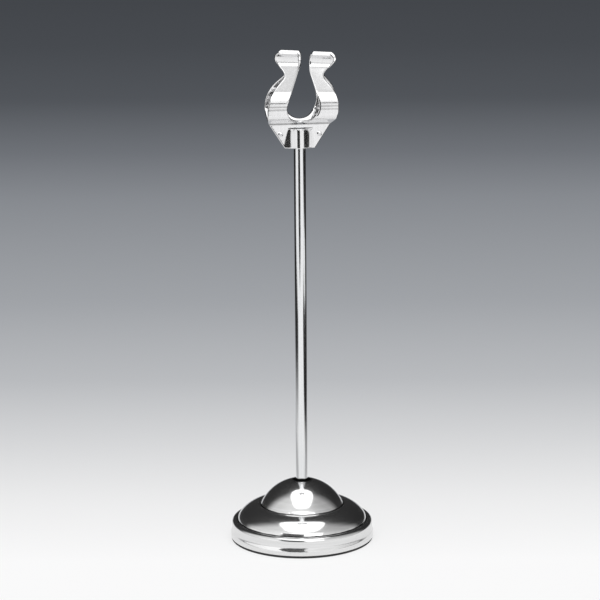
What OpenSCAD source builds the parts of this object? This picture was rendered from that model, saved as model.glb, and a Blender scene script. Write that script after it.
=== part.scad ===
// Place card holder: a weighted bell base, a slim rod and a lyre-shaped clip of two spring leaves.
// Millimetres, +Z up. The origin is the middle of the foot, on the table, and the clip faces -Y.

/* [Base shell] */
// Outside diameter of the rim
base_d = 58.5; // [52:0.5:80]
// Height of the rim's ledge above the table
rim_h = 8.2; // [7.6:0.1:12]
// Radius of the rim's rounded top edge
rim_round = 1.5; // [1.2:0.1:1.8]
// Height of the rim's lower edge above the table
rim_lift = 1; // [0.4:0.1:1.2]
// Width of the ledge, from the rim's outside to the foot of the shoulder
ledge_w = 2.8; // [2.2:0.1:4]
// Rise of the shoulder, from the ledge to the foot of the dome
shoulder_h = 6.6; // [5:0.1:8]
// Radius of the shoulder's upper swell
shoulder_r = 24; // [18:0.5:32]
// Radius that turns the shoulder down to the ledge
foot_round = 5.5; // [4.5:0.1:6.5]
// Depth of that turn's centre below the ledge
foot_drop = 1.4; // [0.8:0.1:2]
// Diameter of the dome at its foot
dome_d = 33.4; // [30:0.2:36]
// Rise of the dome above its foot
dome_h = 10.1; // [8:0.1:13]
// Sheet thickness of the shell
shell_t = 0.8; // [0.6:0.1:1]

/* [Ballast and fixings] */
// Gap between the ballast casting and the shell
cast_gap = 0.4; // [0.3:0.1:0.8]
// Thickness of the foot pad
pad_t = 1.6; // [1.4:0.1:2.4]
// Distance of the pad's lower edge inside the rim
pad_inset = 0.3; // [0.1:0.1:0.6]
// Diameter of the recess round the nut
recess_d = 12; // [11:0.5:16]
// Diameter of the rod's threaded end
spigot_d = 4; // [3:0.5:4]
// Radial clearance round the threaded end
spigot_gap = 0.1; // [0.05:0.05:0.3]
// Length of thread beyond the nut
thread_spare = 0.8; // [0.5:0.1:1.5]
// Gap from the end of the thread to the pad
thread_gap = 0.6; // [0.4:0.1:1.5]
// Nut width across its flats
nut_flats = 7; // [7:0.5:9]
// Nut thickness
nut_h = 3.2; // [2.4:0.1:4]
// Flat washer diameter
washer_d = 9; // [8:0.5:10]
// Flat washer thickness
washer_t = 0.8; // [0.5:0.1:1.2]
// Lock washer diameter
lock_d = 7.6; // [7:0.2:8.5]
// Lock washer thickness
lock_t = 0.9; // [0.7:0.1:1.2]
// Width of the split in the lock washer
lock_split = 0.7; // [0.4:0.1:1]
// Slant of the split from the washer's axis
lock_slant = 25; // [10:1:40]

/* [Rod] */
// Rod diameter
rod_d = 4.8; // [4.5:0.1:6]
// Radial clearance of the clip's channel round the rod
rod_gap = 0.05; // [0.03:0.01:0.1]
// Bevel on the rod's upper end
rod_bevel = 0.4; // [0.2:0.1:0.8]

/* [Clip skirt] */
// Height of the skirt's lower edge above the table
clip_z = 163.3; // [120:0.1:260]
// Height of the skirt, up to the crease
skirt_h = 9.4; // [9:0.1:14]
// Width of flat left beside the channel at the skirt's lower edge
skirt_margin = 0.3; // [0.2:0.1:2]
// Sheet thickness of the spring leaves
leaf_t = 0.8; // [0.5:0.1:0.9]
// Gap between the two leaves where they lie together
leaf_gap = 0.06; // [0.02:0.02:0.2]
// Outside radius where the channel turns into the flat skirt
channel_fillet = 5; // [1:0.2:5.2]
// Distance of the channel's open upper end below the crease
channel_drop = 1.3; // [0.8:0.1:4]
// Diameter of the rivet shanks
rivet_d = 1.4; // [1:0.1:1.8]
// Diameter of the rivet heads
rivet_head_d = 2.2; // [2:0.1:2.6]
// Height of the rivet heads
rivet_head_h = 0.3; // [0.2:0.05:0.5]
// Radial clearance round the rivet shanks
rivet_gap = 0.03; // [0.02:0.01:0.1]
// Distance of the rivets below the crease
rivet_drop = 3.7; // [3:0.1:5]

/* [Jaw from the side] */
// Middle radius of the bend at the crease
crease_r = 1.2; // [0.9:0.1:1.8]
// Slope of the shelf above the horizontal
shelf_slope = 25; // [15:1:40]
// Middle radius of the corner from the shelf to the wall
corner_r = 2.2; // [1.4:0.1:3]
// Distance of the wall's middle from the card's plane
bulge = 7.4; // [6:0.1:9]
// Height of the straight wall
wall_h = 4; // [2.5:0.1:6]
// Middle radius of the bend above the wall
bulge_r = 12; // [8:0.5:14]
// Lean of the arms towards the card
lean = 29; // [24:1:36]
// Middle radius of the bend at the pinch
pinch_r = 4.5; // [3:0.1:6]
// Outward flare of the lips from the vertical
flare = 60; // [40:1:70]
// Gap between the leaves at the pinch with no card
pinch_gap = 0.3; // [0.2:0.05:0.6]

/* [Jaw from the front] */
// Radius of the lyre's round body
lyre_r = 14.2; // [13:0.1:16]
// Height of the body's centre above the crease
lyre_rise = 7.4; // [5:0.1:8]
// Radius of the U's round bottom
u_r = 6.4; // [5:0.1:8]
// Height of the U's centre above the crease
u_rise = 8.4; // [8.2:0.1:10]
// Width of the slot between the arms at the lips
slot_w = 4.2; // [2:0.1:5]
// Radius that turns the U's sides into the slot
slot_round = 10; // [6:0.5:14]
// Distance below the lips' top at which the slot turns straight
slot_drop = 5.8; // [4:0.1:7]
// Half width of the arms' outline at the neck
neck_half = 7.9; // [7:0.1:9]
// Radius of the hollow outside the neck
neck_r = 2.4; // [1.6:0.1:3]
// Height from the neck's hollow to the middle of the lip's end
neck_drop = 6.7; // [6:0.1:8]
// Half width across the lips
lip_half = 11.9; // [11:0.1:13]
// Radius of the lips' rounded outer ends
lip_r = 2.7; // [2:0.1:3]
// Distance of the lip ends' middle below the top of the lips
lip_drop = 2.5; // [2:0.1:3]
// Radius of the lips' inner corners
lip_inner_r = 1.4; // [0.6:0.1:2]

/* [Hidden] */
$fn = 96;

// Colours
chrome_colour = [0.80, 0.81, 0.83];
iron_colour = [0.22, 0.22, 0.23];
pad_colour = [0.05, 0.05, 0.05];
zinc_colour = [0.62, 0.63, 0.62];

// A cut reaches past the faces that it opens by this much
past = 1;

// Bends of the sheet are drawn with a flat at least every so many degrees
arc_step = 5;

// The centre of the circle that has its given distances from a and b, on the right of the way from a to b
function meet(a, a_r, b, b_r) =
    let (way = b - a, d = norm(way), along = (d * d + a_r * a_r - b_r * b_r) / (2 * d))
    a + (along * way + sqrt(a_r * a_r - along * along) * [way[1], -way[0]]) / d;

// Base: heights, the dome's sphere, and the shoulder's swell, which runs smoothly into the turn at its foot
base_r = base_d / 2;
dome_foot_z = rim_h + shoulder_h;
base_h = dome_foot_z + dome_h;
dome_r = (pow(dome_d / 2, 2) + pow(dome_h, 2)) / (2 * dome_h);
shoulder_foot_r = base_r - ledge_w;
foot_centre = [shoulder_foot_r - sqrt(pow(foot_round, 2) - pow(foot_drop, 2)), rim_h - foot_drop];
shoulder_centre = meet([dome_d / 2, dome_foot_z], shoulder_r, foot_centre, shoulder_r - foot_round);
shoulder_turn = (foot_centre - shoulder_centre) / norm(foot_centre - shoulder_centre);

// The rod's shoulder sits on a flat that is pressed into the dome's top, a little wider than the rod
rod_r = rod_d / 2;
seat_r = rod_r + spigot_gap;
seat_z = base_h - dome_r + sqrt(pow(dome_r, 2) - pow(seat_r, 2));

// The ballast's flange meets the underside of the ledge, and a bevel clears the rim's inner round
flange_r = base_r - shell_t - cast_gap;
flange_z = rim_h - shell_t;
flange_bevel = rim_round - shell_t;
spigot_bore_r = spigot_d / 2 + spigot_gap;

// The stack under the ballast, from the pad upwards
spigot_z = pad_t + thread_gap;
nut_z = spigot_z + thread_spare;
lock_z = nut_z + nut_h;
washer_z = lock_z + lock_t;
recess_z = washer_z + washer_t;

// Clip: the crease, and the channel that wraps the rod, whose fillet ends flush with the flat skirt.
// The rivets sit midway between that fillet and the skirt's slanted edge.
crease_z = clip_z + skirt_h;
crease_half = sqrt(pow(lyre_r, 2) - pow(lyre_rise, 2));
leaf_back = leaf_gap / 2;
leaf_front = leaf_back + leaf_t;
channel_in_r = rod_r + rod_gap;
channel_out_r = channel_in_r + leaf_t;
fillet_centre = [sqrt(pow(channel_out_r + channel_fillet, 2) - pow(leaf_front + channel_fillet, 2)),
                 leaf_front + channel_fillet];
skirt_foot_half = fillet_centre[0] + skirt_margin;
channel_end_z = crease_z - channel_drop;
rod_top_z = channel_end_z - rod_gap;
rivet_z = crease_z - rivet_drop;
skirt_slant = (crease_half - skirt_foot_half) / skirt_h;
rivet_x = (fillet_centre[0] + crease_half - rivet_drop * skirt_slant) / 2;

// Jaw from the side, as [outwards, above the crease]: the centres of the sheet's four bends
leaf_mid = leaf_back + leaf_t / 2;
pinch_mid = (pinch_gap + leaf_t) / 2;
shelf_turn = 90 - shelf_slope;
shelf_run = (bulge - leaf_mid - (crease_r + corner_r) * (1 - cos(shelf_turn))) / sin(shelf_turn);
arm_run = (bulge - pinch_mid - (bulge_r + pinch_r) * (1 - cos(lean))) / sin(lean);
crease_centre = [leaf_mid + crease_r, 0];
corner_centre = crease_centre + (crease_r + corner_r) * [-cos(shelf_turn), sin(shelf_turn)]
    + shelf_run * [sin(shelf_turn), cos(shelf_turn)];
bulge_centre = corner_centre + [corner_r - bulge_r, wall_h];
pinch_centre = bulge_centre + (bulge_r + pinch_r) * [cos(lean), sin(lean)]
    + arm_run * [-sin(lean), cos(lean)];
jaw_rise = pinch_centre[1] + (pinch_r + leaf_t / 2) * sin(flare);
jaw_reach = 2 * bulge + past;

// Jaw from the front, in heights above the crease: circles that straight edges join
lyre_centre = [0, lyre_rise];
u_centre = [0, u_rise];
lip_over = lip_r - lip_drop;
lip_centre = [lip_half - lip_r, jaw_rise - lip_drop];
neck_centre = [neck_half + neck_r, lip_centre[1] - neck_drop];
slot_centre = [slot_w / 2 + slot_round, jaw_rise - slot_drop];
lip_top = jaw_rise + lip_over;
lip_inner_centre = [slot_w / 2 + lip_inner_r, lip_top - lip_inner_r];

// The two ends of the straight edge that crosses from circle a to circle b.
// side is 1 where it leaves circle a on the left of the way to b, and -1 on the right.
function cross_edge(a, a_r, b, b_r, side) =
    let (way = b - a, swing = side * acos((a_r + b_r) / norm(way)), heading = atan2(way[1], way[0]) + swing)
    [a + a_r * [cos(heading), sin(heading)], b - b_r * [cos(heading), sin(heading)]];

// Points along an arc, from one angle to another
function arc(centre, r, from, to) =
    let (steps = ceil(abs(to - from) / arc_step))
    [for (i = [0:steps]) let (a = from + (to - from) * i / steps) centre + r * [cos(a), sin(a)]];

// One face of the jaw's sheet from the crease to the lip, side away from its middle
function leaf_face(side) = concat(
    arc(crease_centre, crease_r - side, 180, 180 - shelf_turn),
    arc(corner_centre, corner_r + side, -shelf_turn, 0),
    arc(bulge_centre, bulge_r + side, 0, lean),
    arc(pinch_centre, pinch_r - side, 180 + lean, 180 - flare));

// A list from its end to its start
function backwards(points) = [for (i = [len(points) - 1:-1:0]) points[i]];

// Half section of the bell, drawn in by inset all over, from z_low upwards
module bell_section(inset, z_low) {
    rim_r = base_r - inset;
    round_r = rim_round - min(inset, shell_t);
    ledge_z = rim_h - inset;
    knee = shoulder_centre + (shoulder_r - inset) * shoulder_turn;
    intersection() {
        union() {
            translate([0, base_h - dome_r]) circle(dome_r - inset);
            intersection() {
                translate(shoulder_centre) circle(shoulder_r - inset);
                translate([0, z_low]) square([knee[0], base_h]);
            }
            translate(foot_centre) circle(foot_round - inset);
            translate([0, z_low]) square([rim_r - round_r, ledge_z - z_low]);
            translate([0, z_low]) square([rim_r, ledge_z - round_r - z_low]);
            translate([rim_r - round_r, ledge_z - round_r]) circle(round_r);
        }
        translate([0, z_low]) square([base_r, base_h]);
    }
}

// Pressed sheet bell: open below, with a flat seat and a hole for the rod on top
module base_shell() {
    color(chrome_colour)
        difference() {
            rotate_extrude()
                difference() {
                    bell_section(0, rim_lift);
                    bell_section(shell_t, rim_lift - past);
                }
            translate([0, 0, seat_z]) cylinder(r = seat_r, h = past);
            translate([0, 0, seat_z - shell_t - past]) cylinder(r = spigot_bore_r, h = shell_t + 2 * past);
        }
}

// Iron casting that fills the bell, bored for the rod's threaded end and recessed for the nut
module ballast_weight() {
    color(iron_colour)
        difference() {
            rotate_extrude()
                union() {
                    bell_section(shell_t + cast_gap, pad_t);
                    polygon([[0, pad_t], [flange_r, pad_t], [flange_r, flange_z - flange_bevel],
                             [flange_r - flange_bevel, flange_z], [0, flange_z]]);
                }
            translate([0, 0, pad_t - past]) cylinder(d = recess_d, h = recess_z - pad_t + past);
            translate([0, 0, pad_t]) cylinder(r = spigot_bore_r, h = base_h);
        }
}

// Soft disc under the ballast, with a lip that the rim's lower edge stands on
module foot_pad() {
    lip_r = base_r - pad_inset;
    color(pad_colour)
        rotate_extrude()
            polygon([[0, 0], [lip_r, 0], [lip_r, rim_lift], [flange_r, rim_lift],
                     [flange_r, pad_t], [0, pad_t]]);
}

// Bar with a bevelled top and a thinner threaded end below its shoulder
module rod() {
    color(chrome_colour)
        rotate_extrude()
            polygon([[0, spigot_z], [spigot_d / 2, spigot_z], [spigot_d / 2, seat_z], [rod_r, seat_z],
                     [rod_r, rod_top_z - rod_bevel], [rod_r - rod_bevel, rod_top_z], [0, rod_top_z]]);
}

// Plain ring round the threaded end
module ring(d, t) {
    difference() {
        cylinder(d = d, h = t);
        translate([0, 0, -past]) cylinder(r = spigot_bore_r, h = t + 2 * past);
    }
}

// Washer against the roof of the ballast's recess
module flat_washer() {
    color(zinc_colour) translate([0, 0, washer_z]) ring(washer_d, washer_t);
}

// Spring washer with its slanting split
module lock_washer() {
    color(zinc_colour)
        translate([0, 0, lock_z])
            difference() {
                ring(lock_d, lock_t);
                translate([0, 0, lock_t / 2])
                    rotate([lock_slant, 0, 0])
                        translate([0, -lock_split / 2, -lock_d / 2]) cube([lock_d, lock_split, lock_d]);
            }
}

// Nut with its corners turned off at both faces
module hex_nut() {
    sides = 6;
    nut_corner_r = nut_flats / 2 / cos(180 / sides);
    turned = nut_corner_r - nut_flats / 2;
    color(zinc_colour)
        translate([0, 0, nut_z])
            intersection() {
                difference() {
                    cylinder(r = nut_corner_r, h = nut_h, $fn = sides);
                    translate([0, 0, -past]) cylinder(r = spigot_bore_r, h = nut_h + 2 * past);
                }
                rotate_extrude()
                    polygon([[0, 0], [nut_flats / 2, 0], [nut_corner_r, turned],
                             [nut_corner_r, nut_h - turned], [nut_flats / 2, nut_h], [0, nut_h]]);
            }
}

// Half section across the channel, from the rod's axis to the flat skirt, as [across, outwards].
// The outer face is a round and a fillet, and the same centres give the inner face one sheet further in.
module channel_section(round_r, fillet_r, low) {
    intersection() {
        union() {
            circle(round_r);
            difference() {
                polygon([[0, 0], [fillet_centre[0], 0], fillet_centre]);
                translate(fillet_centre) circle(fillet_r);
            }
        }
        translate([0, low]) square([fillet_centre[0], round_r]);
    }
}

// Both halves of the channel from z_low up to the slit that it is pressed out below
module channel(round_r, fillet_r, low, z_low) {
    for (side = [0, 1])
        mirror([side, 0, 0])
            translate([0, 0, z_low])
                mirror([0, 1, 0])
                    linear_extrude(channel_end_z - z_low) channel_section(round_r, fillet_r, low);
}

// Lower part of a leaf: a tapering plate with half a channel pressed round the rod, and two rivet holes
module skirt() {
    difference() {
        union() {
            translate([0, -leaf_back, 0])
                rotate([90, 0, 0])
                    linear_extrude(leaf_t)
                        polygon([[-skirt_foot_half, clip_z], [skirt_foot_half, clip_z],
                                 [crease_half, crease_z], [-crease_half, crease_z]]);
            channel(channel_out_r, channel_fillet, leaf_back, clip_z);
        }
        channel(channel_in_r, channel_fillet + leaf_t, 0, clip_z - past);
        for (side = [-1, 1])
            translate([side * rivet_x, 0, rivet_z])
                rotate([90, 0, 0]) cylinder(r = rivet_d / 2 + rivet_gap, h = leaf_front + past);
    }
}

module front_skirt() {
    color(chrome_colour) skirt();
}

module rear_skirt() {
    color(chrome_colour) mirror([0, 1, 0]) skirt();
}

// Low domed head of a rivet, standing along +Z
module rivet_head() {
    ball_r = (pow(rivet_head_d / 2, 2) + pow(rivet_head_h, 2)) / (2 * rivet_head_h);
    rotate_extrude()
        intersection() {
            translate([0, rivet_head_h - ball_r]) circle(ball_r);
            square([rivet_head_d, rivet_head_h]);
        }
}

// Two rivets through both skirts, with a head on each side
module clip_rivets() {
    color(chrome_colour)
        for (side = [-1, 1])
            translate([side * rivet_x, 0, rivet_z])
                rotate([90, 0, 0]) {
                    cylinder(d = rivet_d, h = 2 * leaf_front, center = true);
                    for (face = [0, 1])
                        mirror([0, 0, face]) translate([0, 0, leaf_front]) rivet_head();
                }
}

// Right half of the jaw's front outline, in heights above the crease
module jaw_half_outline() {
    body_edge = cross_edge(lyre_centre, lyre_r, neck_centre, neck_r, -1);
    hook_edge = cross_edge(neck_centre, neck_r, lip_centre, lip_r, 1);
    u_edge = cross_edge(u_centre, u_r, slot_centre, slot_round, -1);
    slot_half = slot_w / 2;
    difference() {
        union() {
            intersection() {
                translate(lyre_centre) circle(lyre_r);
                translate([0, -past]) square([lyre_r, jaw_rise]);
            }
            difference() {
                polygon([lyre_centre, body_edge[0], body_edge[1], neck_centre, hook_edge[0], hook_edge[1],
                         lip_centre, [lip_centre[0], lip_top], [lip_inner_centre[0], lip_top],
                         lip_inner_centre, [slot_half, lip_inner_centre[1]], [0, lip_inner_centre[1]]]);
                translate(neck_centre) circle(neck_r);
            }
            translate(lip_centre) circle(lip_r);
            translate(lip_inner_centre) circle(lip_inner_r);
        }
        translate(u_centre) circle(u_r);
        difference() {
            polygon([u_centre, u_edge[0], u_edge[1], slot_centre, [slot_half, slot_centre[1]],
                     [slot_half, lip_top], [0, lip_top]]);
            translate(slot_centre) circle(slot_round);
        }
    }
}

// Upper part of a leaf: the bent sheet, trimmed to the lyre seen from the front
module jaw() {
    translate([0, 0, crease_z])
        intersection() {
            rotate([90, 0, -90])
                linear_extrude(2 * lyre_r + past, center = true)
                    polygon(concat(leaf_face(leaf_t / 2), backwards(leaf_face(-leaf_t / 2))));
            rotate([90, 0, 0])
                linear_extrude(jaw_reach)
                    for (side = [0, 1])
                        mirror([side, 0]) jaw_half_outline();
        }
}

module front_jaw() {
    color(chrome_colour) jaw();
}

module rear_jaw() {
    color(chrome_colour) mirror([0, 1, 0]) jaw();
}

base_shell();
ballast_weight();
foot_pad();
rod();
flat_washer();
lock_washer();
hex_nut();
front_skirt();
rear_skirt();
clip_rivets();
front_jaw();
rear_jaw();
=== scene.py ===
"""Dresses the place card holder: a chromed bell base, a drawn rod and a clip of two spring leaves.

Lengths are metres, or millimetres where a class says so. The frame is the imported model's: +Z up, the foot
on the table, the clip facing -Y.
"""
import logging
from collections.abc import Callable
from dataclasses import dataclass, field
from enum import Enum
from math import acos, asin, atan2, ceil, cos, degrees, floor, pi, radians, sin, sqrt, tan
from typing import NamedTuple

import bpy
import numpy as np
from mathutils import Matrix, Vector
from mathutils.geometry import delaunay_2d_cdt


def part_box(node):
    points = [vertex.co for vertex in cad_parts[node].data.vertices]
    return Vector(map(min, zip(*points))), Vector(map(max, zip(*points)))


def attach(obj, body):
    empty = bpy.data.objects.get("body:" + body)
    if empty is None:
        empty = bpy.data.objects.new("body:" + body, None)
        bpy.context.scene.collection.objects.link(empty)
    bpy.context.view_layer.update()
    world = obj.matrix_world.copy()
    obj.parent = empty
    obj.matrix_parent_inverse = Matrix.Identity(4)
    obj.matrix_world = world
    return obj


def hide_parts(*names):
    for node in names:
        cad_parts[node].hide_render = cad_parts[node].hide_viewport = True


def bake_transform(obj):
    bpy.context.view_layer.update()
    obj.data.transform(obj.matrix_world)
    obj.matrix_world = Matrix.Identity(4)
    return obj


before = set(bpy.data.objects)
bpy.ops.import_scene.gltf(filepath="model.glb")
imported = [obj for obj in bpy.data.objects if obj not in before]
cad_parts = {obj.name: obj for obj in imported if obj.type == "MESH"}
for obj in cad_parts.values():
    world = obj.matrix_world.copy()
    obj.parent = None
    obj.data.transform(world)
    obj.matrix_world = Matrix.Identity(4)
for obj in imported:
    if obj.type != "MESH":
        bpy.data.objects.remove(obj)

LOG = logging.getLogger("place_card_holder")
MM = 0.001
CM = 0.01
NOISE_SPAN = (0.3, 0.7)
ON_AXIS = 1e-9
SAME_SPOT = 1e-4
NOT_ZERO = 1e-12
INSIDE_LOOPS = 1
WELD_WITHIN = 1e-7
Array = np.ndarray
Point = tuple[float, float]
Span = tuple[float, float]
Slope = tuple[float, float, float, float]
Colour = tuple[float, float, float]
Node = bpy.types.Node
Socket = bpy.types.NodeSocket


class Lines(Enum):
    """Which way a finish's polishing lines run, as the stretch of their noise."""

    ROUND = (0.02, 0.02, 1.0)
    LENGTHWISE = (1.0, 1.0, 0.02)
    NONE = (0.0, 0.0, 0.0)


class Graph:
    """A shorthand for building one shader's node tree."""

    def __init__(self, tree: bpy.types.NodeTree) -> None:
        """Empties the tree that is to be filled."""
        self.tree = tree
        tree.nodes.clear()

    def add(self, kind: str, inputs: dict | None = None, **settings) -> Node:
        """Adds a node, sets it up and wires or fills its inputs.

        Args:
            kind: The node's type without its leading "ShaderNode".
            inputs: Input name or number, to a value or the socket that feeds it.
            **settings: Properties of the node itself.

        Returns:
            The node.
        """
        node = self.tree.nodes.new("ShaderNode" + kind)
        for name, value in settings.items():
            setattr(node, name, value)
        for key, value in (inputs or {}).items():
            if isinstance(value, Socket):
                self.tree.links.new(value, node.inputs[key])
            else:
                node.inputs[key].default_value = value
        return node

    def math(self, operation: str, *values: float | Socket) -> Socket:
        """Adds a Math node with these inputs and returns its result."""
        return self.add("Math", dict(enumerate(values)), operation=operation).outputs[0]

    def vector(self, operation: str, *values: Colour | Socket) -> Socket:
        """Adds a Vector Math node with these inputs and returns its result."""
        result = "Value" if operation in ("LENGTH", "DOT_PRODUCT") else "Vector"
        return self.add("VectorMath", dict(enumerate(values)), operation=operation).outputs[result]

    def noise(self, place: Socket, scale: float, detail: float, roughness: float = 0.5) -> Socket:
        """Adds a Noise Texture node and returns its value."""
        inputs = {"Vector": place, "Scale": scale, "Detail": detail, "Roughness": roughness}
        return self.add("TexNoise", inputs).outputs["Fac"]

    def mix(self, share: Socket, first: Colour | Socket, second: Colour | Socket) -> Socket:
        """Mixes two colours by the share of the second and returns the result."""
        pair = [each if isinstance(each, Socket) else (*each, 1.0) for each in (first, second)]
        return self.add("Mix", {0: share, 6: pair[0], 7: pair[1]}, data_type="RGBA").outputs[2]

    def ramp(self, value: Socket, low: float, high: float, at_low: float, at_high: float,
             smooth: bool = False) -> Socket:
        """Maps low..high to at_low..at_high, held at both ends, which are eased if smooth."""
        inputs = dict(enumerate((value, low, high, at_low, at_high)))
        return self.add("MapRange", inputs,
                        interpolation_type="SMOOTHSTEP" if smooth else "LINEAR").outputs[0]

    def bump(self, height: Socket, depth: float, **over: Socket) -> Socket:
        """Adds a Bump node, over a Normal if one is given, and returns its normal."""
        return self.add("Bump", {"Height": height, "Distance": depth, **over}).outputs[0]

    def skin(self, colour: Socket, rough: float | Socket, normal: Socket, metallic: float = 1.0) -> Node:
        """Adds a Principled BSDF node and returns it."""
        inputs = {"Base Color": colour, "Roughness": rough, "Normal": normal, "Metallic": metallic}
        return self.add("BsdfPrincipled", inputs)

    def blend(self, share: float | Socket, first: Node, second: Node) -> Node:
        """Mixes two shaders by the share of the second and returns the mixing node."""
        return self.add("MixShader", {0: share, 1: first.outputs[0], 2: second.outputs[0]})

    def end(self, shader: Node, kind: str = "OutputMaterial") -> None:
        """Ends the tree in a shader."""
        self.add(kind, {"Surface": shader.outputs[0]})

    def seen(self) -> Socket:
        """Gives 1 for camera, glossy and transmission rays, which show a surface, and 0 for the rest."""
        path = self.add("LightPath").outputs
        return self.math("MAXIMUM", self.math("MAXIMUM", path["Is Camera Ray"], path["Is Glossy Ray"]),
                         path["Is Transmission Ray"])


class Finish:
    """A surface finish, made as a Blender material once and shared by the pieces that have it.

    Its name isn't a slot of the record, because the frame brings a plain material under each slot's name.
    """

    name: str

    def material(self) -> bpy.types.Material:
        """Finds the material, or makes it the first time.

        Returns:
            The material.
        """
        made = bpy.data.materials.get(self.name)
        if not made:
            made = bpy.data.materials.new(self.name)
            made.use_nodes = True
            self.paint(Graph(made.node_tree))
        return made

    def paint(self, graph: Graph) -> None:
        """Fills the empty node tree; each finish has its own way."""
        raise NotImplementedError


@dataclass(frozen=True)
class ShadeLine:
    """A line of painted shade, as a ring round Z or straight along X: a contact shadow in a crease or a dark
    reflection across a bend. Millimetres.
    """

    out: float
    up: float
    reach: float
    ring: bool = True
    depth: float = 1.0


@dataclass(frozen=True)
class ChromePlate(Finish):
    """Bright plate: a mirror with polishing lines, haze, ripples and specks, and painted shade along its
    creases and bends.
    """

    name: str
    tint: Colour = (0.81, 0.81, 0.81)
    lines: Lines = Lines.ROUND
    line_size: float = 0.5 * MM
    line_depth: float = 0.0012 * MM
    line_span: Span = (0.35, 0.65)
    line_tone: float = 0.94
    ripple_depth: float = 0.016 * MM
    ripple_size: float = 2.6 * MM
    cloud_scale: float = 110.0
    cloud_span: Span = (0.40, 0.72)
    gloss: Span = (0.05, 0.13)
    haze: float = 0.12
    haze_rough: float = 0.42
    film_scale: float = 420.0
    film_span: Span = (0.58, 0.66)
    speck_scale: float = 900.0
    speck_span: Span = (0.06, 0.14)
    speck_tone: float = 0.55
    shade_lines: tuple[ShadeLine, ...] = ()
    crease_edge: Span = (0.75, 1.25)
    crease_core: float = 0.45
    # Near-black colour of the painted shade lines.
    shade_colour: Colour = (0.02, 0.02, 0.02)
    # Extra roughness at the specks and under the painted shade lines.
    speck_and_shade_rough: float = 0.3

    def paint(self, graph: Graph) -> None:
        """Wires the plate's nodes.

        Args:
            graph: The empty tree.
        """
        place = graph.add("TexCoord").outputs["Object"]
        film = graph.noise(place, self.film_scale, detail=3.0)
        dots = graph.add("TexVoronoi", {"Vector": place, "Scale": self.speck_scale}).outputs["Distance"]
        rare = graph.ramp(film, *self.film_span, 0.0, 1.0)
        specks = graph.math("MULTIPLY", graph.ramp(dots, *self.speck_span, 1.0, 0.0), rare)
        colour = graph.mix(specks, self.tint, tuple(self.speck_tone * c for c in self.tint))
        cloud = graph.noise(place, self.cloud_scale, detail=5.0, roughness=0.6)
        rough = graph.ramp(cloud, *self.cloud_span, *self.gloss)
        rough = graph.math("MULTIPLY_ADD", specks, self.speck_and_shade_rough, rough)
        height = graph.add("SeparateXYZ", {0: place}).outputs["Z"]
        # Painted shade: each line mixes the colour towards near black, standing for a contact shadow or a
        # dark reflection.
        for crease in self.shade_lines:
            spread = graph.ramp(film, *NOISE_SPAN, *(share * crease.reach * MM for share in self.crease_edge))
            mask = (1.0, 1.0, 0.0) if crease.ring else (0.0, 1.0, 0.0)
            out = graph.vector("LENGTH", graph.vector("MULTIPLY", place, mask))
            sides = [graph.math("SUBTRACT", out, crease.out * MM),
                     graph.math("SUBTRACT", height, crease.up * MM)]
            away = graph.vector("LENGTH", graph.add("CombineXYZ", dict(enumerate(sides))).outputs[0])
            share = graph.math("DIVIDE", away, spread)
            shaded = graph.ramp(share, self.crease_core, 1.0, crease.depth, 0.0, smooth=True)
            colour = graph.mix(shaded, colour, self.shade_colour)
            rough = graph.math("MULTIPLY_ADD", shaded, self.speck_and_shade_rough, rough)
        ripples = graph.noise(place, 1.0 / self.ripple_size, detail=3.0)
        normal = graph.bump(ripples, self.ripple_depth)
        if self.lines is not Lines.NONE:
            stretched = graph.add("Mapping", {"Vector": place, "Scale": self.lines.value}).outputs[0]
            drawn = graph.noise(stretched, 1.0 / self.line_size, detail=4.0)
            normal = graph.bump(drawn, self.line_depth, Normal=normal)
            tone = graph.ramp(drawn, *self.line_span, self.line_tone, 1.0)
            colour = graph.add("VectorMath", {0: colour, "Scale": tone}, operation="SCALE").outputs[0]
        mirror = graph.skin(colour, rough, normal)
        graph.end(graph.blend(self.haze, mirror, graph.skin(colour, self.haze_rough, normal)))


@dataclass(frozen=True)
class GrainySkin(Finish):
    """A dull skin with a grain and patches of a second tone: dusty rubber, an iron casting, or zinc plate."""

    name: str
    tone: Colour
    second_tone: Colour
    rough: Span
    grain_size: float
    grain_depth: float
    grain_detail: float = 5.0
    patch_ratio: float = 0.12
    patch_span: Span = (0.35, 0.65)
    patch_share: float = 1.0
    patchy_gloss: bool = False
    metallic: float = 1.0

    def paint(self, graph: Graph) -> None:
        """Wires the skin's nodes.

        Args:
            graph: The empty tree.
        """
        place = graph.add("TexCoord").outputs["Object"]
        grain = graph.noise(place, 1.0 / self.grain_size, self.grain_detail)
        patches = graph.noise(place, self.patch_ratio / self.grain_size, detail=4.0)
        patched = graph.ramp(patches, *self.patch_span, 0.0, self.patch_share)
        colour = graph.mix(patched, self.tone, self.second_tone)
        rough = graph.ramp(patches if self.patchy_gloss else grain, *NOISE_SPAN, *self.rough)
        graph.end(graph.skin(colour, rough, graph.bump(grain, self.grain_depth), self.metallic))


# Painted shade lines: a contact shadow round the rod's foot and on the dome round it, and dark reflections in
# the cove, the groove and the leaves' bend.
ROD_FOOT = ShadeLine(2.45, 24.75, 1.0)
DOME_TOP = ShadeLine(2.45, 24.75, 2.2)
COVE = ShadeLine(17.05, 14.65, 0.35)
GROOVE = ShadeLine(26.45, 8.2, 0.4)
LEAF_BEND = ShadeLine(0.95, 173.1, 0.4, ring=False, depth=0.5)
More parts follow.
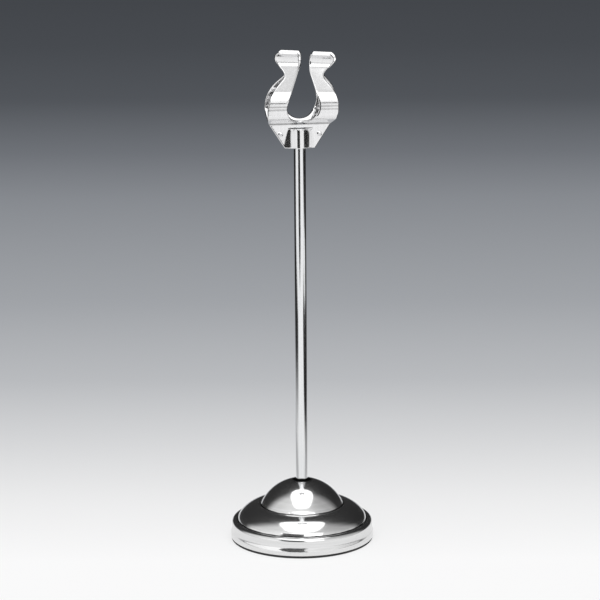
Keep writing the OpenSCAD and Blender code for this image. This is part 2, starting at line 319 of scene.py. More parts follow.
# Painted shade: two dark bands across the leaf walls, standing for reflected shade.
LOW_WALL_SHADE = ShadeLine(7.8, 180.3, 0.5, ring=False, depth=0.28)
HIGH_WALL_SHADE = ShadeLine(7.8, 181.5, 0.45, ring=False, depth=0.32)
BELL_CHROME = ChromePlate("bell_chrome", haze=0.15, shade_lines=(DOME_TOP, COVE, GROOVE))
ROD_CHROME = ChromePlate("bar_chrome", tint=(0.83, 0.84, 0.85), lines=Lines.LENGTHWISE, gloss=(0.08, 0.14),
                         ripple_depth=0.006 * MM, ripple_size=6.0 * MM, haze=0.03, shade_lines=(ROD_FOOT,))
SPRING_CHROME = ChromePlate("leaf_chrome", tint=(0.85, 0.85, 0.855), lines=Lines.LENGTHWISE, line_tone=0.92,
                            ripple_depth=0.008 * MM, gloss=(0.08, 0.14), haze=0.04,
                            shade_lines=(LEAF_BEND, LOW_WALL_SHADE, HIGH_WALL_SHADE))
RIVET_CHROME = ChromePlate("rivet_chrome", tint=(0.74, 0.74, 0.75), lines=Lines.NONE, gloss=(0.08, 0.2))
PAD_RUBBER = GrainySkin("pad_rubber", (0.012, 0.012, 0.013), (0.045, 0.044, 0.042), (0.62, 0.86),
                        0.625 * MM, 0.05 * MM, grain_detail=4.0, patch_ratio=0.1, patch_span=(0.45, 0.75),
                        patch_share=0.8, patchy_gloss=True, metallic=0.0)
CAST_IRON = GrainySkin("cast_iron", (0.10, 0.10, 0.105), (0.16, 0.15, 0.14), (0.5, 0.8), 0.7 * MM, 0.08 * MM)
ZINC_PLATE = GrainySkin("zinc_plate", (0.58, 0.60, 0.60), (0.66, 0.66, 0.62), (0.22, 0.42),
                        0.25 * MM, 0.004 * MM)


class Circle(NamedTuple):
    """A circle that an outline follows."""

    middle: Point
    r: float

    def grown(self, by: float) -> "Circle":
        """Gives the circle round the same middle whose radius is larger by this much."""
        return Circle(self.middle, self.r + by)

    def bearing(self, point: Point) -> float:
        """Gives the angle of a point seen from the middle, in degrees."""
        return degrees(atan2(point[1] - self.middle[1], point[0] - self.middle[0]))

    def crossing(self, other: "Circle", side: int) -> Point:
        """Finds where two circles cross.

        Args:
            other: The second circle.
            side: 1 for the crossing on the left of the way to it, -1 for the right.

        Returns:
            The crossing point.
        """
        way = np.subtract(other.middle, self.middle)
        length = np.hypot(*way)
        along = (length ** 2 + self.r ** 2 - other.r ** 2) / (2 * length)
        across = side * sqrt(self.r ** 2 - along ** 2)
        unit = way / length
        return tuple(self.middle + along * unit + across * np.array([-unit[1], unit[0]]))

    def edge_to(self, other: "Circle", side: int) -> tuple[Point, Point]:
        """Finds the straight edge that crosses over to another circle, touching both.

        Args:
            other: The other circle.
            side: 1 where the edge leaves on the left of the way, -1 on the right.

        Returns:
            The edge's two ends.
        """
        way = np.subtract(other.middle, self.middle)
        heading = atan2(way[1], way[0]) + side * acos((self.r + other.r) / np.hypot(*way))
        normal = np.array([cos(heading), sin(heading)])
        return tuple(self.middle + self.r * normal), tuple(other.middle - other.r * normal)


@dataclass
class Pen:
    """Draws an outline of straight runs, and of arcs whose points are at most a step apart."""

    step: float
    fewest: int = 4
    points: list[Point] = field(default_factory=list)

    def to(self, *points: Point) -> "Pen":
        """Draws straight runs to the points and returns the pen."""
        self.points.extend((float(x), float(y)) for x, y in points)
        return self

    def arc(self, middle: Point, r: float, start: float, end: float) -> "Pen":
        """Draws an arc between two angles in degrees, with both its ends, and returns the pen."""
        angles = np.linspace(*np.radians([start, end]),
                             1 + max(self.fewest, ceil(radians(abs(end - start)) * r / self.step)))
        return self.to(*zip(middle[0] + r * np.cos(angles), middle[1] + r * np.sin(angles)))


def make_piece(name: str, points: Array, faces: list, finish: Finish,
               sharp: float | None = None) -> bpy.types.Object:
    """Makes a smooth mesh object with a finish.

    Args:
        name: The piece's name.
        points: Its vertices, in metres.
        faces: Lists of vertex numbers.
        finish: What it is dressed in.
        sharp: The turn in degrees above which an edge stays sharp, or None for no sharp edges.

    Returns:
        The object.
    """
    mesh = bpy.data.meshes.new(name)
    mesh.from_pydata([tuple(p) for p in points], [], faces)
    mesh.validate()
    mesh.shade_smooth()
    if sharp is not None:
        mesh.set_sharp_from_angle(angle=radians(sharp))
    piece = bpy.data.objects.new(name, mesh)
    bpy.context.scene.collection.objects.link(piece)
    mesh.materials.append(finish.material())
    return piece


def join_rings(rings: list[list[int]]) -> list[list[int]]:
    """Joins rings of as many vertex numbers, each to the next, with faces; a ring may be one point."""
    quads = (dict.fromkeys((low[i - 1], low[i], high[i], high[i - 1]))
             for low, high in zip(rings, rings[1:]) for i in range(len(low)))
    return [list(corners) for corners in quads if len(corners) > 2]


def rings_from(starts: list[int], count: int) -> list[list[int]]:
    """Numbers rings of count vertices each, one from each start."""
    return [list(range(start, start + count)) for start in starts]


def turned(outline: list[Point], turns: int) -> tuple[Array, list]:
    """Carries a closed outline round the Z axis.

    Args:
        outline: Radius and height of each point, in millimetres, with the body on the left of the way.
        turns: How many flats go round.

    Returns:
        Points in metres, and faces of their numbers.
    """
    angles = np.linspace(0.0, 2 * pi, turns, endpoint=False)
    points, rings = [], []
    for radius, height in np.array(outline) * MM:
        first = len(points)
        if radius < ON_AXIS:
            points.append((0.0, 0.0, height))
            rings.append([first] * turns)
        else:
            points.extend((radius * cos(a), radius * sin(a), height) for a in angles)
            rings += rings_from([first], turns)
    return np.array(points), join_rings(rings + rings[:1])


def settle(piece: bpy.types.Object, body: str, slot: str, *nodes: str) -> None:
    """Hangs a finished piece on its body and logs it.

    Args:
        piece: The piece, already in place.
        body: The body that it rides on.
        slot: The record's material slot for it; not used.
        *nodes: The nodes that it stands for.
    """
    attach(piece, body)
    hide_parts(*nodes)
    LOG.info("%s: %d faces, rides on %s", piece.name, len(piece.data.polygons), body)


@dataclass
class BellBase:
    """The weighted base: a pressed shell, the pad it stands on and what it hides. Millimetres."""

    base_r: float = 29.24
    rim_h: float = 8.2
    rim_round: float = 1.5
    rim_lift: float = 1.0
    rim_band: float = 0.8
    rim_sweep: float = 0.5
    sweep_turn: float = 17.0
    ledge_w: float = 2.8
    shoulder_h: float = 6.3
    shoulder_r: float = 12.0
    foot_round: float = 5.5
    foot_drop: float = 1.4
    dome_r_foot: float = 16.87
    dome_h: float = 10.4
    shell_t: float = 0.8
    seat_r: float = 2.5
    hole_r: float = 2.1
    groove_r: float = 0.15
    cove_r: float = 0.6
    edge_r: float = 0.2
    pad_r: float = 28.05
    pad_t: float = 1.6
    pad_inset: float = 0.3
    step: float = 0.3
    pad_step: float = 0.1
    turns: int = 288
    pad_turns: int = 192
    sharp: float = 35.0

    def __post_init__(self) -> None:
        """Works out the dome's sphere, the shoulder's arcs and the rim's sweep."""
        dome_foot = self.rim_h + self.shoulder_h
        dome_r = (self.dome_r_foot ** 2 + self.dome_h ** 2) / (2 * self.dome_h)
        self.dome = Circle((0.0, dome_foot + self.dome_h - dome_r), dome_r)
        foot_reach = sqrt(self.foot_round ** 2 - self.foot_drop ** 2)
        foot_at = (self.base_r - self.ledge_w - foot_reach, self.rim_h - self.foot_drop)
        self.foot = Circle(foot_at, self.foot_round)
        from_dome = Circle((self.dome_r_foot, dome_foot), self.shoulder_r)
        from_foot = Circle(foot_at, self.shoulder_r - self.foot_round)
        self.shoulder = Circle(from_dome.crossing(from_foot, -1), self.shoulder_r)
        self.knee = self.shoulder.bearing(foot_at)
        self.sweep_r = self.rim_sweep / (2 * (1 - cos(radians(self.sweep_turn))))

    def outside(self) -> list[Point]:
        """Draws the shell's outer face from its lower edge to the seat.

        Returns:
            Radius and height of each point.
        """
        pen = Pen(self.step)
        wall = self.base_r - self.rim_sweep
        band_top = self.rim_lift + self.rim_band
        sweep_top = band_top + 2 * self.sweep_r * sin(radians(self.sweep_turn))
        cove = self.shoulder.grown(self.cove_r).crossing(self.dome.grown(self.cove_r), -1)
        cove_low, cove_high = self.shoulder.bearing(cove), self.dome.bearing(cove)
        groove_reach = sqrt((self.foot_round + self.groove_r) ** 2 - (self.foot_drop + self.groove_r) ** 2)
        groove = (self.foot.middle[0] + groove_reach, self.rim_h + self.groove_r)
        foot_low = self.foot.bearing(groove)
        pen.arc((self.base_r - self.edge_r, self.rim_lift + self.edge_r), self.edge_r, -90, 0)
        pen.arc((self.base_r - self.sweep_r, band_top), self.sweep_r, 0, self.sweep_turn)
        pen.arc((wall + self.sweep_r, sweep_top), self.sweep_r, 180 + self.sweep_turn, 180)
        pen.arc((wall - self.rim_round, self.rim_h - self.rim_round), self.rim_round, 0, 90)
        pen.arc(groove, self.groove_r, 270, 180 + foot_low)
        pen.arc(*self.foot, foot_low, self.knee)
        pen.arc(*self.shoulder, self.knee, cove_low)
        pen.arc(cove, self.cove_r, 180 + cove_low, 180 + cove_high)
        pen.arc(*self.dome, cove_high, degrees(acos(self.seat_r / self.dome.r)))
        return pen.points

    def inside(self) -> list[Point]:
        """Draws the shell's inner face from the hole down to the lower edge.

        Returns:
            Radius and height of each point.
        """
        pen = Pen(2 * self.step)
        dome, shoulder, foot = (c.grown(-self.shell_t) for c in (self.dome, self.shoulder, self.foot))
        cove = shoulder.crossing(dome, -1)
        ledge = self.rim_h - self.shell_t
        round_in = self.rim_round - self.shell_t
        wall = self.base_r - self.rim_sweep - self.shell_t
        low = (self.base_r - self.shell_t, self.rim_lift)
        foot_low = degrees(asin((ledge - foot.middle[1]) / foot.r))
        pen.arc(*dome, degrees(acos(self.hole_r / dome.r)), dome.bearing(cove))
        pen.arc(*shoulder, shoulder.bearing(cove), self.knee)
        pen.arc(*foot, self.knee, foot_low)
        pen.arc((wall - round_in, ledge - round_in), round_in, 90, 0)
        pen.to((wall, low[1] + 2 * self.rim_band), (low[0], low[1] + self.rim_band), low)
        return pen.points

    def build(self) -> None:
        """Makes and dresses the shell and the pad."""
        outside = self.outside()
        outline = outside + [(self.hole_r, outside[-1][1])] + self.inside()
        shell = make_piece("base_shell_dressed", *turned(outline, self.turns), BELL_CHROME, self.sharp)
        settle(shell, "stand", "polished_chrome", "base_shell")
        lip = self.base_r - self.pad_inset - self.edge_r
        pen = Pen(self.pad_step).to((0.0, 0.0))
        pen.arc((lip, self.edge_r), self.edge_r, -90, 0)
        pen.arc((lip, self.rim_lift - self.edge_r), self.edge_r, 0, 90)
        pen.to((self.pad_r, self.rim_lift), (self.pad_r, self.pad_t), (0.0, self.pad_t))
        pad = make_piece("foot_pad_dressed", *turned(pen.points, self.pad_turns), PAD_RUBBER, self.sharp)
        settle(pad, "stand", "foot_rubber", "foot_pad")

    def dress_hidden(self) -> None:
        """Dresses the carried-over nodes that shell and pad hide."""
        for node in ("ballast_weight", "flat_washer", "lock_washer", "hex_nut"):
            finish = CAST_IRON if node == "ballast_weight" else ZINC_PLATE
            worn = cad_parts[node].data.materials
            worn.clear()
            worn.append(finish.material())
            LOG.info("%s: carried over in %s", node, finish.name)


@dataclass
class Rod:
    """The drawn bar, with a bevelled top and a threaded end below its shoulder. Millimetres."""

    radius: float = 2.4
    bevel: float = 0.4
    shoulder_round: float = 0.15
    thread_r: float = 2.0
    thread_pitch: float = 0.7
    thread_depth: float = 0.38
    thread_steps: int = 8
    plain_neck: float = 1.2
    shank_start: float = 1.0
    shank_rows: int = 40
    turns: int = 72
    sharp: float = 30.0

    def build(self) -> None:
        """Makes and dresses the rod between the heights that the frame gives."""
        low, high = (corner.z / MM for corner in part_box("rod"))
        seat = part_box("base_shell")[1].z / MM
        thread_top = seat - self.plain_neck
        thread = np.arange(low, thread_top, self.thread_pitch / self.thread_steps)
        corner = (self.radius - self.shoulder_round, seat + self.shoulder_round)
        shoulder = Pen(self.shoulder_round).arc(corner, self.shoulder_round, -90, 0).points
        rows = [(low, 0.0, 0.0)]
        rows += [(z, self.thread_r, self.thread_depth) for z in thread]
        rows += [(thread_top, self.thread_r, 0.0), (seat, self.thread_r, 0.0)]
        rows += [(z, r, 0.0) for r, z in shoulder]
        shank = np.linspace(seat + self.shank_start, high - self.bevel, self.shank_rows)
        rows += [(z, self.radius, 0.0) for z in shank]
        rows += [(high, self.radius - self.bevel, 0.0), (high, 0.0, 0.0)]
        angles = np.linspace(0, 2 * pi, self.turns, endpoint=False)
        points = []
        for height, radius, depth in rows:
            wave = np.abs(((height / self.thread_pitch - angles / (2 * pi)) % 1.0) * 2 - 1)
            ring = radius - depth * wave
            points.append(np.stack([ring * np.cos(angles), ring * np.sin(angles), 0 * ring + height], axis=1))
        faces = join_rings(rings_from([row * self.turns for row in range(len(rows))], self.turns))
        rod = make_piece("rod_dressed", np.concatenate(points) * MM, faces, ROD_CHROME, self.sharp)
        settle(rod, "stand", "rod_chrome", "rod")


@dataclass
class LeafLine:
    """The middle line of a leaf's sheet from the side, crease to lip. Millimetres and degrees."""

    sheet: float = 0.8
    leaf_gap: float = 0.06
    crease_r: float = 1.2
    shelf_slope: float = 25.0
    corner_r: float = 2.2
    bulge: float = 7.4
    wall_h: float = 4.0
    bulge_r: float = 12.0
    lean: float = 29.0
    pinch_r: float = 4.5
    flare: float = 60.0
    pinch_gap: float = 0.3
    samples: int = 4001

    def __post_init__(self) -> None:
        """Lays out the bends and straight runs as lengths and turns, and follows them."""
        start = (self.leaf_gap + self.sheet) / 2
        pinch = (self.pinch_gap + self.sheet) / 2
        turn, lean, flare = np.radians([90 - self.shelf_slope, self.lean, self.lean + self.flare])
        shelf = (self.bulge - start - (self.crease_r + self.corner_r) * (1 - cos(turn))) / sin(turn)
        arm = (self.bulge - pinch - (self.bulge_r + self.pinch_r) * (1 - cos(lean))) / sin(lean)
        runs = [(0.0, 0.0), (self.crease_r * turn, turn), (shelf, 0.0), (self.corner_r * turn, -turn),
                (self.wall_h, 0.0), (self.bulge_r * lean, -lean), (arm, 0.0), (self.pinch_r * flare, flare)]
        self.stops, self.headings = np.cumsum(runs, axis=0).T
        self.fine = np.linspace(0.0, self.stops[-1], self.samples)
        heading = np.interp(self.fine, self.stops, self.headings)
        middle = (heading[1:] + heading[:-1]) / 2
        pace = self.fine[1]
        self.out = start + np.concatenate([[0.0], np.cumsum(np.sin(middle)) * pace])
        self.up = np.concatenate([[0.0], np.cumsum(np.cos(middle)) * pace])
        self.rise = float(self.up[-1])

    def place(self, along: Array) -> tuple[Array, Array, Array]:
        """Gives distances out and up, and headings in radians, at lengths from the crease along the sheet."""
        up = np.where(along < 0, along, np.interp(along, self.fine, self.up))
        return np.interp(along, self.fine, self.out), up, np.interp(along, self.stops, self.headings)

    def along(self, up: Array) -> Array:
        """Turns heights above the crease into lengths along the sheet."""
        return np.where(up < 0, up, np.interp(up, self.up, self.fine))


@dataclass
class Lyre:
    """The outline of a leaf seen from the front, in heights above the crease. Millimetres."""

    skirt_h: float = 9.4
    skirt_foot: float = 6.14
    body_r: float = 14.2
    body_rise: float = 7.4
    u_r: float = 6.4
    u_rise: float = 8.4
    slot_half: float = 2.1
    slot_round: float = 10.0
    slot_drop: float = 5.8
    neck_half: float = 7.9
    neck_r: float = 2.4
    neck_drop: float = 6.7
    lip_half: float = 11.9
    lip_r: float = 2.7
    lip_drop: float = 2.5
    lip_inner_r: float = 1.4
    foot_corner_r: float = 0.5
    step: float = 0.12

    def half(self, rise: float) -> Array:
        """Draws the right half, from the middle of the foot round the lip to the bottom of the U.

        Args:
            rise: Height of the sheet's upper end above the crease.

        Returns:
            Points across and above the crease.
        """
        pen = Pen(self.step)
        body = Circle((0.0, self.body_rise), self.body_r)
        eye = Circle((0.0, self.u_rise), self.u_r)
        lip_z = rise - self.lip_drop
        lip_top = rise + self.lip_r - self.lip_drop
        lip = Circle((self.lip_half - self.lip_r, lip_z), self.lip_r)
        inner = Circle((self.slot_half + self.lip_inner_r, lip_top - self.lip_inner_r), self.lip_inner_r)
        neck = Circle((self.neck_half + self.neck_r, lip_z - self.neck_drop), self.neck_r)
        slot = Circle((self.slot_half + self.slot_round, rise - self.slot_drop), self.slot_round)
        crease_half = sqrt(self.body_r ** 2 - self.body_rise ** 2)
        slant = degrees(atan2(self.skirt_h, crease_half - self.skirt_foot))
        corner_r = self.foot_corner_r
        setback = corner_r * tan(radians(slant / 2))
        body_end, neck_start = body.edge_to(neck, -1)
        neck_end, lip_start = neck.edge_to(lip, 1)
        eye_start, slot_end = eye.edge_to(slot, -1)
        pen.to((0.0, -self.skirt_h))
        pen.arc((self.skirt_foot - setback, corner_r - self.skirt_h), corner_r, -90, slant - 90)
        pen.arc(*body, body.bearing((crease_half, 0.0)), body.bearing(body_end))
        pen.arc(*neck, neck.bearing(neck_start) % 360, neck.bearing(neck_end) % 360)
        pen.arc(*lip, lip.bearing(lip_start), 90)
        pen.arc(*inner, 90, 180)
        pen.arc(*slot, 180, slot.bearing(slot_end) % 360)
        pen.arc(*eye, eye.bearing(eye_start), -90)
        points = np.array(pen.points)
        points[:, 1] = np.minimum(points[:, 1], rise)
        return points


@dataclass
class Channel:
    """The half round pressed into a skirt to hold the rod, open at the slit above it. Millimetres."""

    rod_r: float = 2.4
    rod_gap: float = 0.05
    drop: float = 1.3
    top_fillet: float = 2.5
    foot_fillet: float = 8.5
    depth: float = 8.1
    sheet: float = 0.8
    flat: float = 0.43

    def __post_init__(self) -> None:
        """Works out the middle line's round, and how far the fillet reaches at the slit."""
        self.round_r = self.rod_r + self.rod_gap + self.sheet / 2
        self.reach = float(self.spread(np.array(-self.drop))[1])

    def spread(self, up: Array) -> tuple[Array, Array]:
        """Gives the fillet's radius, which grows from slit to foot, and how far from the middle it ends."""
        fillet_r = self.sheet / 2 + np.interp(-up, (self.drop, self.drop + self.depth),
                                              (self.top_fillet, self.foot_fillet))
        return fillet_r, np.sqrt((self.round_r + fillet_r) ** 2 - (self.flat + fillet_r) ** 2)

    def stand_out(self, across: Array, up: Array) -> Array:
        """Gives how far the sheet's middle stands out.

        Args:
            across: Distances from the channel's middle line, to either side.
            up: Heights above the crease.

        Returns:
            Distances from the card's plane.
        """
        side = np.abs(across)
        fillet_r, reach = self.spread(up)
        turn = reach * self.round_r / (self.round_r + fillet_r)
        on_round = np.sqrt(np.maximum(self.round_r ** 2 - side ** 2, 0.0))
        on_fillet = self.flat + fillet_r - np.sqrt(np.maximum(fillet_r ** 2 - (reach - side) ** 2, 0.0))
        return np.where(side < turn, on_round, np.where(side < reach, on_fillet, self.flat))


def evenly(loop: Array, spacing: float) -> tuple[Array, Array]:
    """Spaces points evenly along a closed loop.

    Args:
        loop: The loop's points, in order.
        spacing: The distance between the new points.

    Returns:
        The new points, and at each the direction on the right of the way.
    """
    steps = np.linalg.norm(np.diff(loop, axis=0, append=loop[:1]), axis=1)
    kept = loop[steps > SAME_SPOT]
    closed = np.concatenate([kept, kept[:1]])
    measure = np.concatenate([[0.0], np.cumsum(np.linalg.norm(np.diff(closed, axis=0), axis=1))])
    spots = np.linspace(0.0, measure[-1], int(measure[-1] / spacing), endpoint=False)
    points = np.stack([np.interp(spots, measure, closed[:, i]) for i in (0, 1)], axis=1)
    way = np.roll(points, -1, axis=0) - np.roll(points, 1, axis=0)
    right = np.stack([way[:, 1], -way[:, 0]], axis=1)
    return points, right / np.linalg.norm(right, axis=1)[:, None]


def within(points: Array, loop: Array) -> Array:
    """Tells which points lie inside a closed loop.

    Args:
        points: The points to test.
        loop: The loop's points, in order.

    Returns:
        True for each point inside.
    """
    inside = np.zeros(len(points), bool)
    for a, b in zip(loop, np.roll(loop, -1, axis=0)):
        crosses = (a[1] > points[:, 1]) != (b[1] > points[:, 1])
        level = np.where(crosses, (points[:, 1] - a[1]) / (b[1] - a[1] + NOT_ZERO), 0.0)
        inside ^= crosses & (points[:, 0] < a[0] + level * (b[0] - a[0]))
    return inside


@dataclass
class SpringLeaf:
    """One formed leaf of the clip, a closed sheet with rounded edges. Millimetres.

    The spacings of its borders' points, and the free strip along them, are shares of the grid.
    """

    name: str
    body: str
    front: bool
    nodes: tuple[str, str]
    lean: float
    sway: float
    dip: float = 1.6
    line: LeafLine = field(default_factory=LeafLine)
    lyre: Lyre = field(default_factory=Lyre)
    channel: Channel = field(default_factory=Channel)
    edge_r: float = 0.36
    inner_roll: float = 0.42
    edge_steps: int = 6
    slit_half: float = 0.05
    grid: float = 0.42
    edge_spacing: float = 0.7
    slit_spacing: float = 0.35
    free_strip: float = 0.6
    blend_below: float = 0.6
    blend_above: float = 1.6

    def __post_init__(self) -> None:
        """Takes the height of the crease from the frame."""
        self.crease_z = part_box(self.nodes[1])[0].z / MM

    def surface(self, across: Array, along: Array, off: float) -> Array:
        """Bends flat sheet coordinates into place.

        Args:
            across: Distances from the clip's middle.
            along: Lengths from the crease along the sheet.
            off: Distance off the sheet's middle, towards its outer face.

        Returns:
            One point in metres for each.
        """
        out, up, heading = self.line.place(along)
        pressed = up < -self.channel.drop
        tiny = 1e-4
        rise = self.channel.stand_out(across + tiny, up) - self.channel.stand_out(across - tiny, up)
        slope = np.where(pressed, rise / (2 * tiny), 0.0)
        out = np.where(pressed, self.channel.stand_out(across, up), out)
        normal = np.stack([-slope, np.cos(heading), -np.sin(heading)], axis=1)
        normal /= np.linalg.norm(normal, axis=1)[:, None]
        points = np.stack([across, out, self.crease_z + up], axis=1) + normal * off
        share = np.clip((points[:, 2] - self.crease_z) / self.line.rise, 0.0, 1.0)
        points[:, 2] -= self.dip * share ** 2 * (0.5 + across / (2 * self.lyre.lip_half))
        points[:, 0] += self.lean * share + self.sway * share ** 2
        points[:, 1] *= -1 if self.front else 1
        return points * MM

    def edges(self) -> list[tuple[Array, Array, Array]]:
        """Draws where the flat sheet's rounded edges begin; inner edges are rolled wider.

        Returns:
            For the outline, anticlockwise, and the slit above the channel, clockwise: points across and
            along, and at each the way off the sheet and the width of the round.
        """
        half = self.lyre.half(self.line.rise)
        half[:, 1] = self.line.along(half[:, 1])
        loop = np.concatenate([half, half[-2:0:-1] * [-1, 1]])
        points, outward = evenly(loop, self.edge_spacing * self.grid)
        inwards = np.clip(-np.sign(points[:, 0]) * outward[:, 0], 0.0, 1.0)
        width = self.edge_r + self.inner_roll * inwards
        end, level = self.channel.reach, -self.channel.drop
        radius = self.slit_half + self.edge_r
        pen = Pen(self.slit_half).arc((end, level), radius, 90, -90).arc((-end, level), radius, -90, -270)
        slit, inward = evenly(np.array(pen.points), self.slit_spacing * self.grid)
        slit_width = np.full(len(slit), self.edge_r)
        return [(points - outward * width[:, None], outward, width), (slit, inward, slit_width)]

    def flat_mesh(self, outline: Array, slit: Array) -> tuple[Array, list]:
        """Fills the flat sheet with a regular net of points, joined as triangles.

        Args:
            outline: The outer edge's points, in order.
            slit: The slit's points, in order.

        Returns:
            All points, the outline's first and then the slit's, and triangles of their numbers.
        """
        low, high = outline.min(axis=0), outline.max(axis=0)
        columns = np.arange(floor(low[0] / self.grid), ceil(high[0] / self.grid) + 1) * self.grid
        rows = np.arange(low[1], high[1], self.grid)
        net = np.stack(np.meshgrid(columns, rows), axis=-1).reshape(-1, 2)
        border = np.concatenate([outline, slit])
        nearest = np.min(np.hypot(*(net[:, None, :] - border[None, :, :]).transpose(2, 0, 1)), axis=1)
        kept = net[within(net, outline) & ~within(net, slit) & (nearest > self.free_strip * self.grid)]
        points = np.concatenate([border, kept])
        loops = [list(range(len(outline))), list(range(len(outline), len(border)))]
        made = delaunay_2d_cdt([Vector(p) for p in points], [], loops, INSIDE_LOOPS, WELD_WITHIN)
        points = np.array([tuple(p) for p in made[0]])
        triangles = np.array([tuple(f) for f in made[2]])
        return points, triangles[~within(points[triangles].mean(axis=1), slit)].tolist()

    def build(self) -> None:
        """Makes, dresses and hangs the leaf across the crease."""
        edges = self.edges()
        flat, triangles = self.flat_mesh(edges[0][0], edges[1][0])
        back = len(flat)
        half_sheet = self.line.sheet / 2
        parts = [self.surface(*flat.T, off) for off in (half_sheet, -half_sheet)]
        faces = triangles + [[back + i for i in reversed(t)] for t in triangles]
        quarter = np.radians(np.linspace(90, 0, self.edge_steps + 1))
        turns = [(angle, 1) for angle in quarter[1:]] + [(-angle, -1) for angle in quarter[:0:-1]]
        first, total = 0, 2 * back
        for border, outward, width in edges:
            starts = [first]
            for angle, side in turns:
                spot = border + outward * (width * cos(angle))[:, None]
                off = side * (half_sheet - self.edge_r) + self.edge_r * sin(angle)
                parts.append(self.surface(*spot.T, off))
                starts.append(total)
                total += len(border)
            starts.append(back + first)
            faces += join_rings(rings_from(starts[::-1], len(border)))
            first += len(border)
        if not self.front:
            faces = [face[::-1] for face in faces]
        leaf = make_piece(self.name, np.concatenate(parts), faces, SPRING_CHROME)
        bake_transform(leaf)
        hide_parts(*self.nodes)
        LOG.info("%s: %d faces, blended from stand to %s", leaf.name, len(leaf.data.polygons), self.body)


@dataclass
class Rivets:
    """The two rivets through the skirts, with a low head and a closing mark on both sides. Millimetres."""

    shank_r: float = 0.7
    head_r: float = 1.1
    head_h: float = 0.3
    mark_r: float = 0.42
    mark_depth: float = 0.2
    sheet_front: float = 0.83
    step: float = 0.06
    turns: int = 48
    sharp: float = 40.0

    def build(self) -> None:
        """Makes and dresses both rivets as one piece."""
        low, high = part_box("clip_rivets")
        middle = (high.z + low.z) / 2
        reach = high.x - self.head_r * MM
        ball_r = (self.head_r ** 2 + self.head_h ** 2) / (2 * self.head_h)
        rim_angle, mark_angle = (degrees(asin(r / ball_r)) for r in (self.head_r, self.mark_r))
        head_top = self.sheet_front + self.head_h
        pen = Pen(self.step).to((self.shank_r, self.sheet_front), (self.head_r, self.sheet_front))
        pen.arc((0.0, head_top - ball_r), ball_r, 90 - rim_angle, 90 - mark_angle)
        pen.to((0.0, head_top - self.mark_depth))
        points, faces = turned([(r, -h) for r, h in reversed(pen.points)] + pen.points, self.turns)
        lying = points[:, [0, 2, 1]] * [1, -1, 1]
        pair = np.concatenate([lying + [side * reach, 0.0, middle] for side in (-1, 1)])
        faces = faces + [[len(points) + i for i in face] for face in faces]
        rivets = make_piece("clip_rivets_dressed", pair, faces, RIVET_CHROME, self.sharp)
        settle(rivets, "stand", "rivet_steel", "clip_rivets")


@dataclass(frozen=True)
class TablePaper(Finish):
    """White paper with painted shade that falls off with distance behind the object and past the lamps in
    front, and a painted band of extra light just in front of it.
    """

    name: str = "table_paper"
    azimuth: float = 0.0
    stops: tuple[Point, ...] = ((-2.6, 0.02), (-2.2, 0.92), (-0.03, 0.955), (0.05, 0.85), (0.14, 0.68),
                                (0.24, 0.51), (0.39, 0.38), (0.63, 0.27), (0.76, 0.18), (0.93, 0.098),
                                (1.13, 0.076), (2.0, 0.04))
    coolness: float = 0.16
    red_share: float = 0.6
    near_span: Span = (-0.35, -0.12)
    painted_light_lift: float = 1.1
    light_share: float = 0.22
    lighting: Colour = (0.8, 0.8, 0.8)

    def paint(self, graph: Graph) -> None:
        """Wires the paper's nodes.

        Args:
            graph: The empty tree.
        """
        place = graph.add("TexCoord").outputs["Object"]
        turn = radians(self.azimuth)
        back = graph.vector("DOT_PRODUCT", place, (-sin(turn), cos(turn), 0.0))
        near, far = self.stops[0][0], self.stops[-1][0]
        ramp = graph.add("ValToRGB", {"Fac": graph.ramp(back, near, far, 0.0, 1.0)})
        elements = ramp.color_ramp.elements
        while len(elements) < len(self.stops):
            elements.new(0.5)
        for element, (distance, grey) in zip(elements, self.stops):
            element.position = (distance - near) / (far - near)
            cool = self.coolness * (1 - grey) ** 2
            element.color = (grey * (1 - self.red_share * cool), grey, grey * (1 + cool), 1.0)
        # Painted light: the paper glows brighter in a band just in front of the object.
        strength = graph.ramp(back, *self.near_span, self.painted_light_lift, 1.0)
        glow = graph.add("Emission", {"Color": ramp.outputs["Color"], "Strength": strength})
        lit = graph.add("BsdfDiffuse", {"Color": ramp.outputs["Color"]})
        plain = graph.add("BsdfDiffuse", {"Color": (*self.lighting, 1.0)})
        graph.end(graph.blend(graph.seen(), plain, graph.blend(self.light_share, glow, lit)))


@dataclass(frozen=True)
class StudioCard(Finish):
    """A sheet of the studio with one even glow, which fades out towards its edges."""

    name: str
    glow: float
    cover: str = "cover"

    def paint(self, graph: Graph) -> None:
        """Wires the sheet's nodes.

        Args:
            graph: The empty tree.
        """
        cover = graph.add("Attribute", attribute_name=self.cover).outputs["Fac"]
        glow = graph.add("Emission", {"Color": (1.0, 1.0, 1.0, 1.0), "Strength": self.glow})
        graph.end(graph.blend(cover, graph.add("BsdfTransparent"), glow))


BLACK_CARD = StudioCard("black_card", 0.02)
LAMP_CLOTH = StudioCard("lamp_cloth", 1.6)


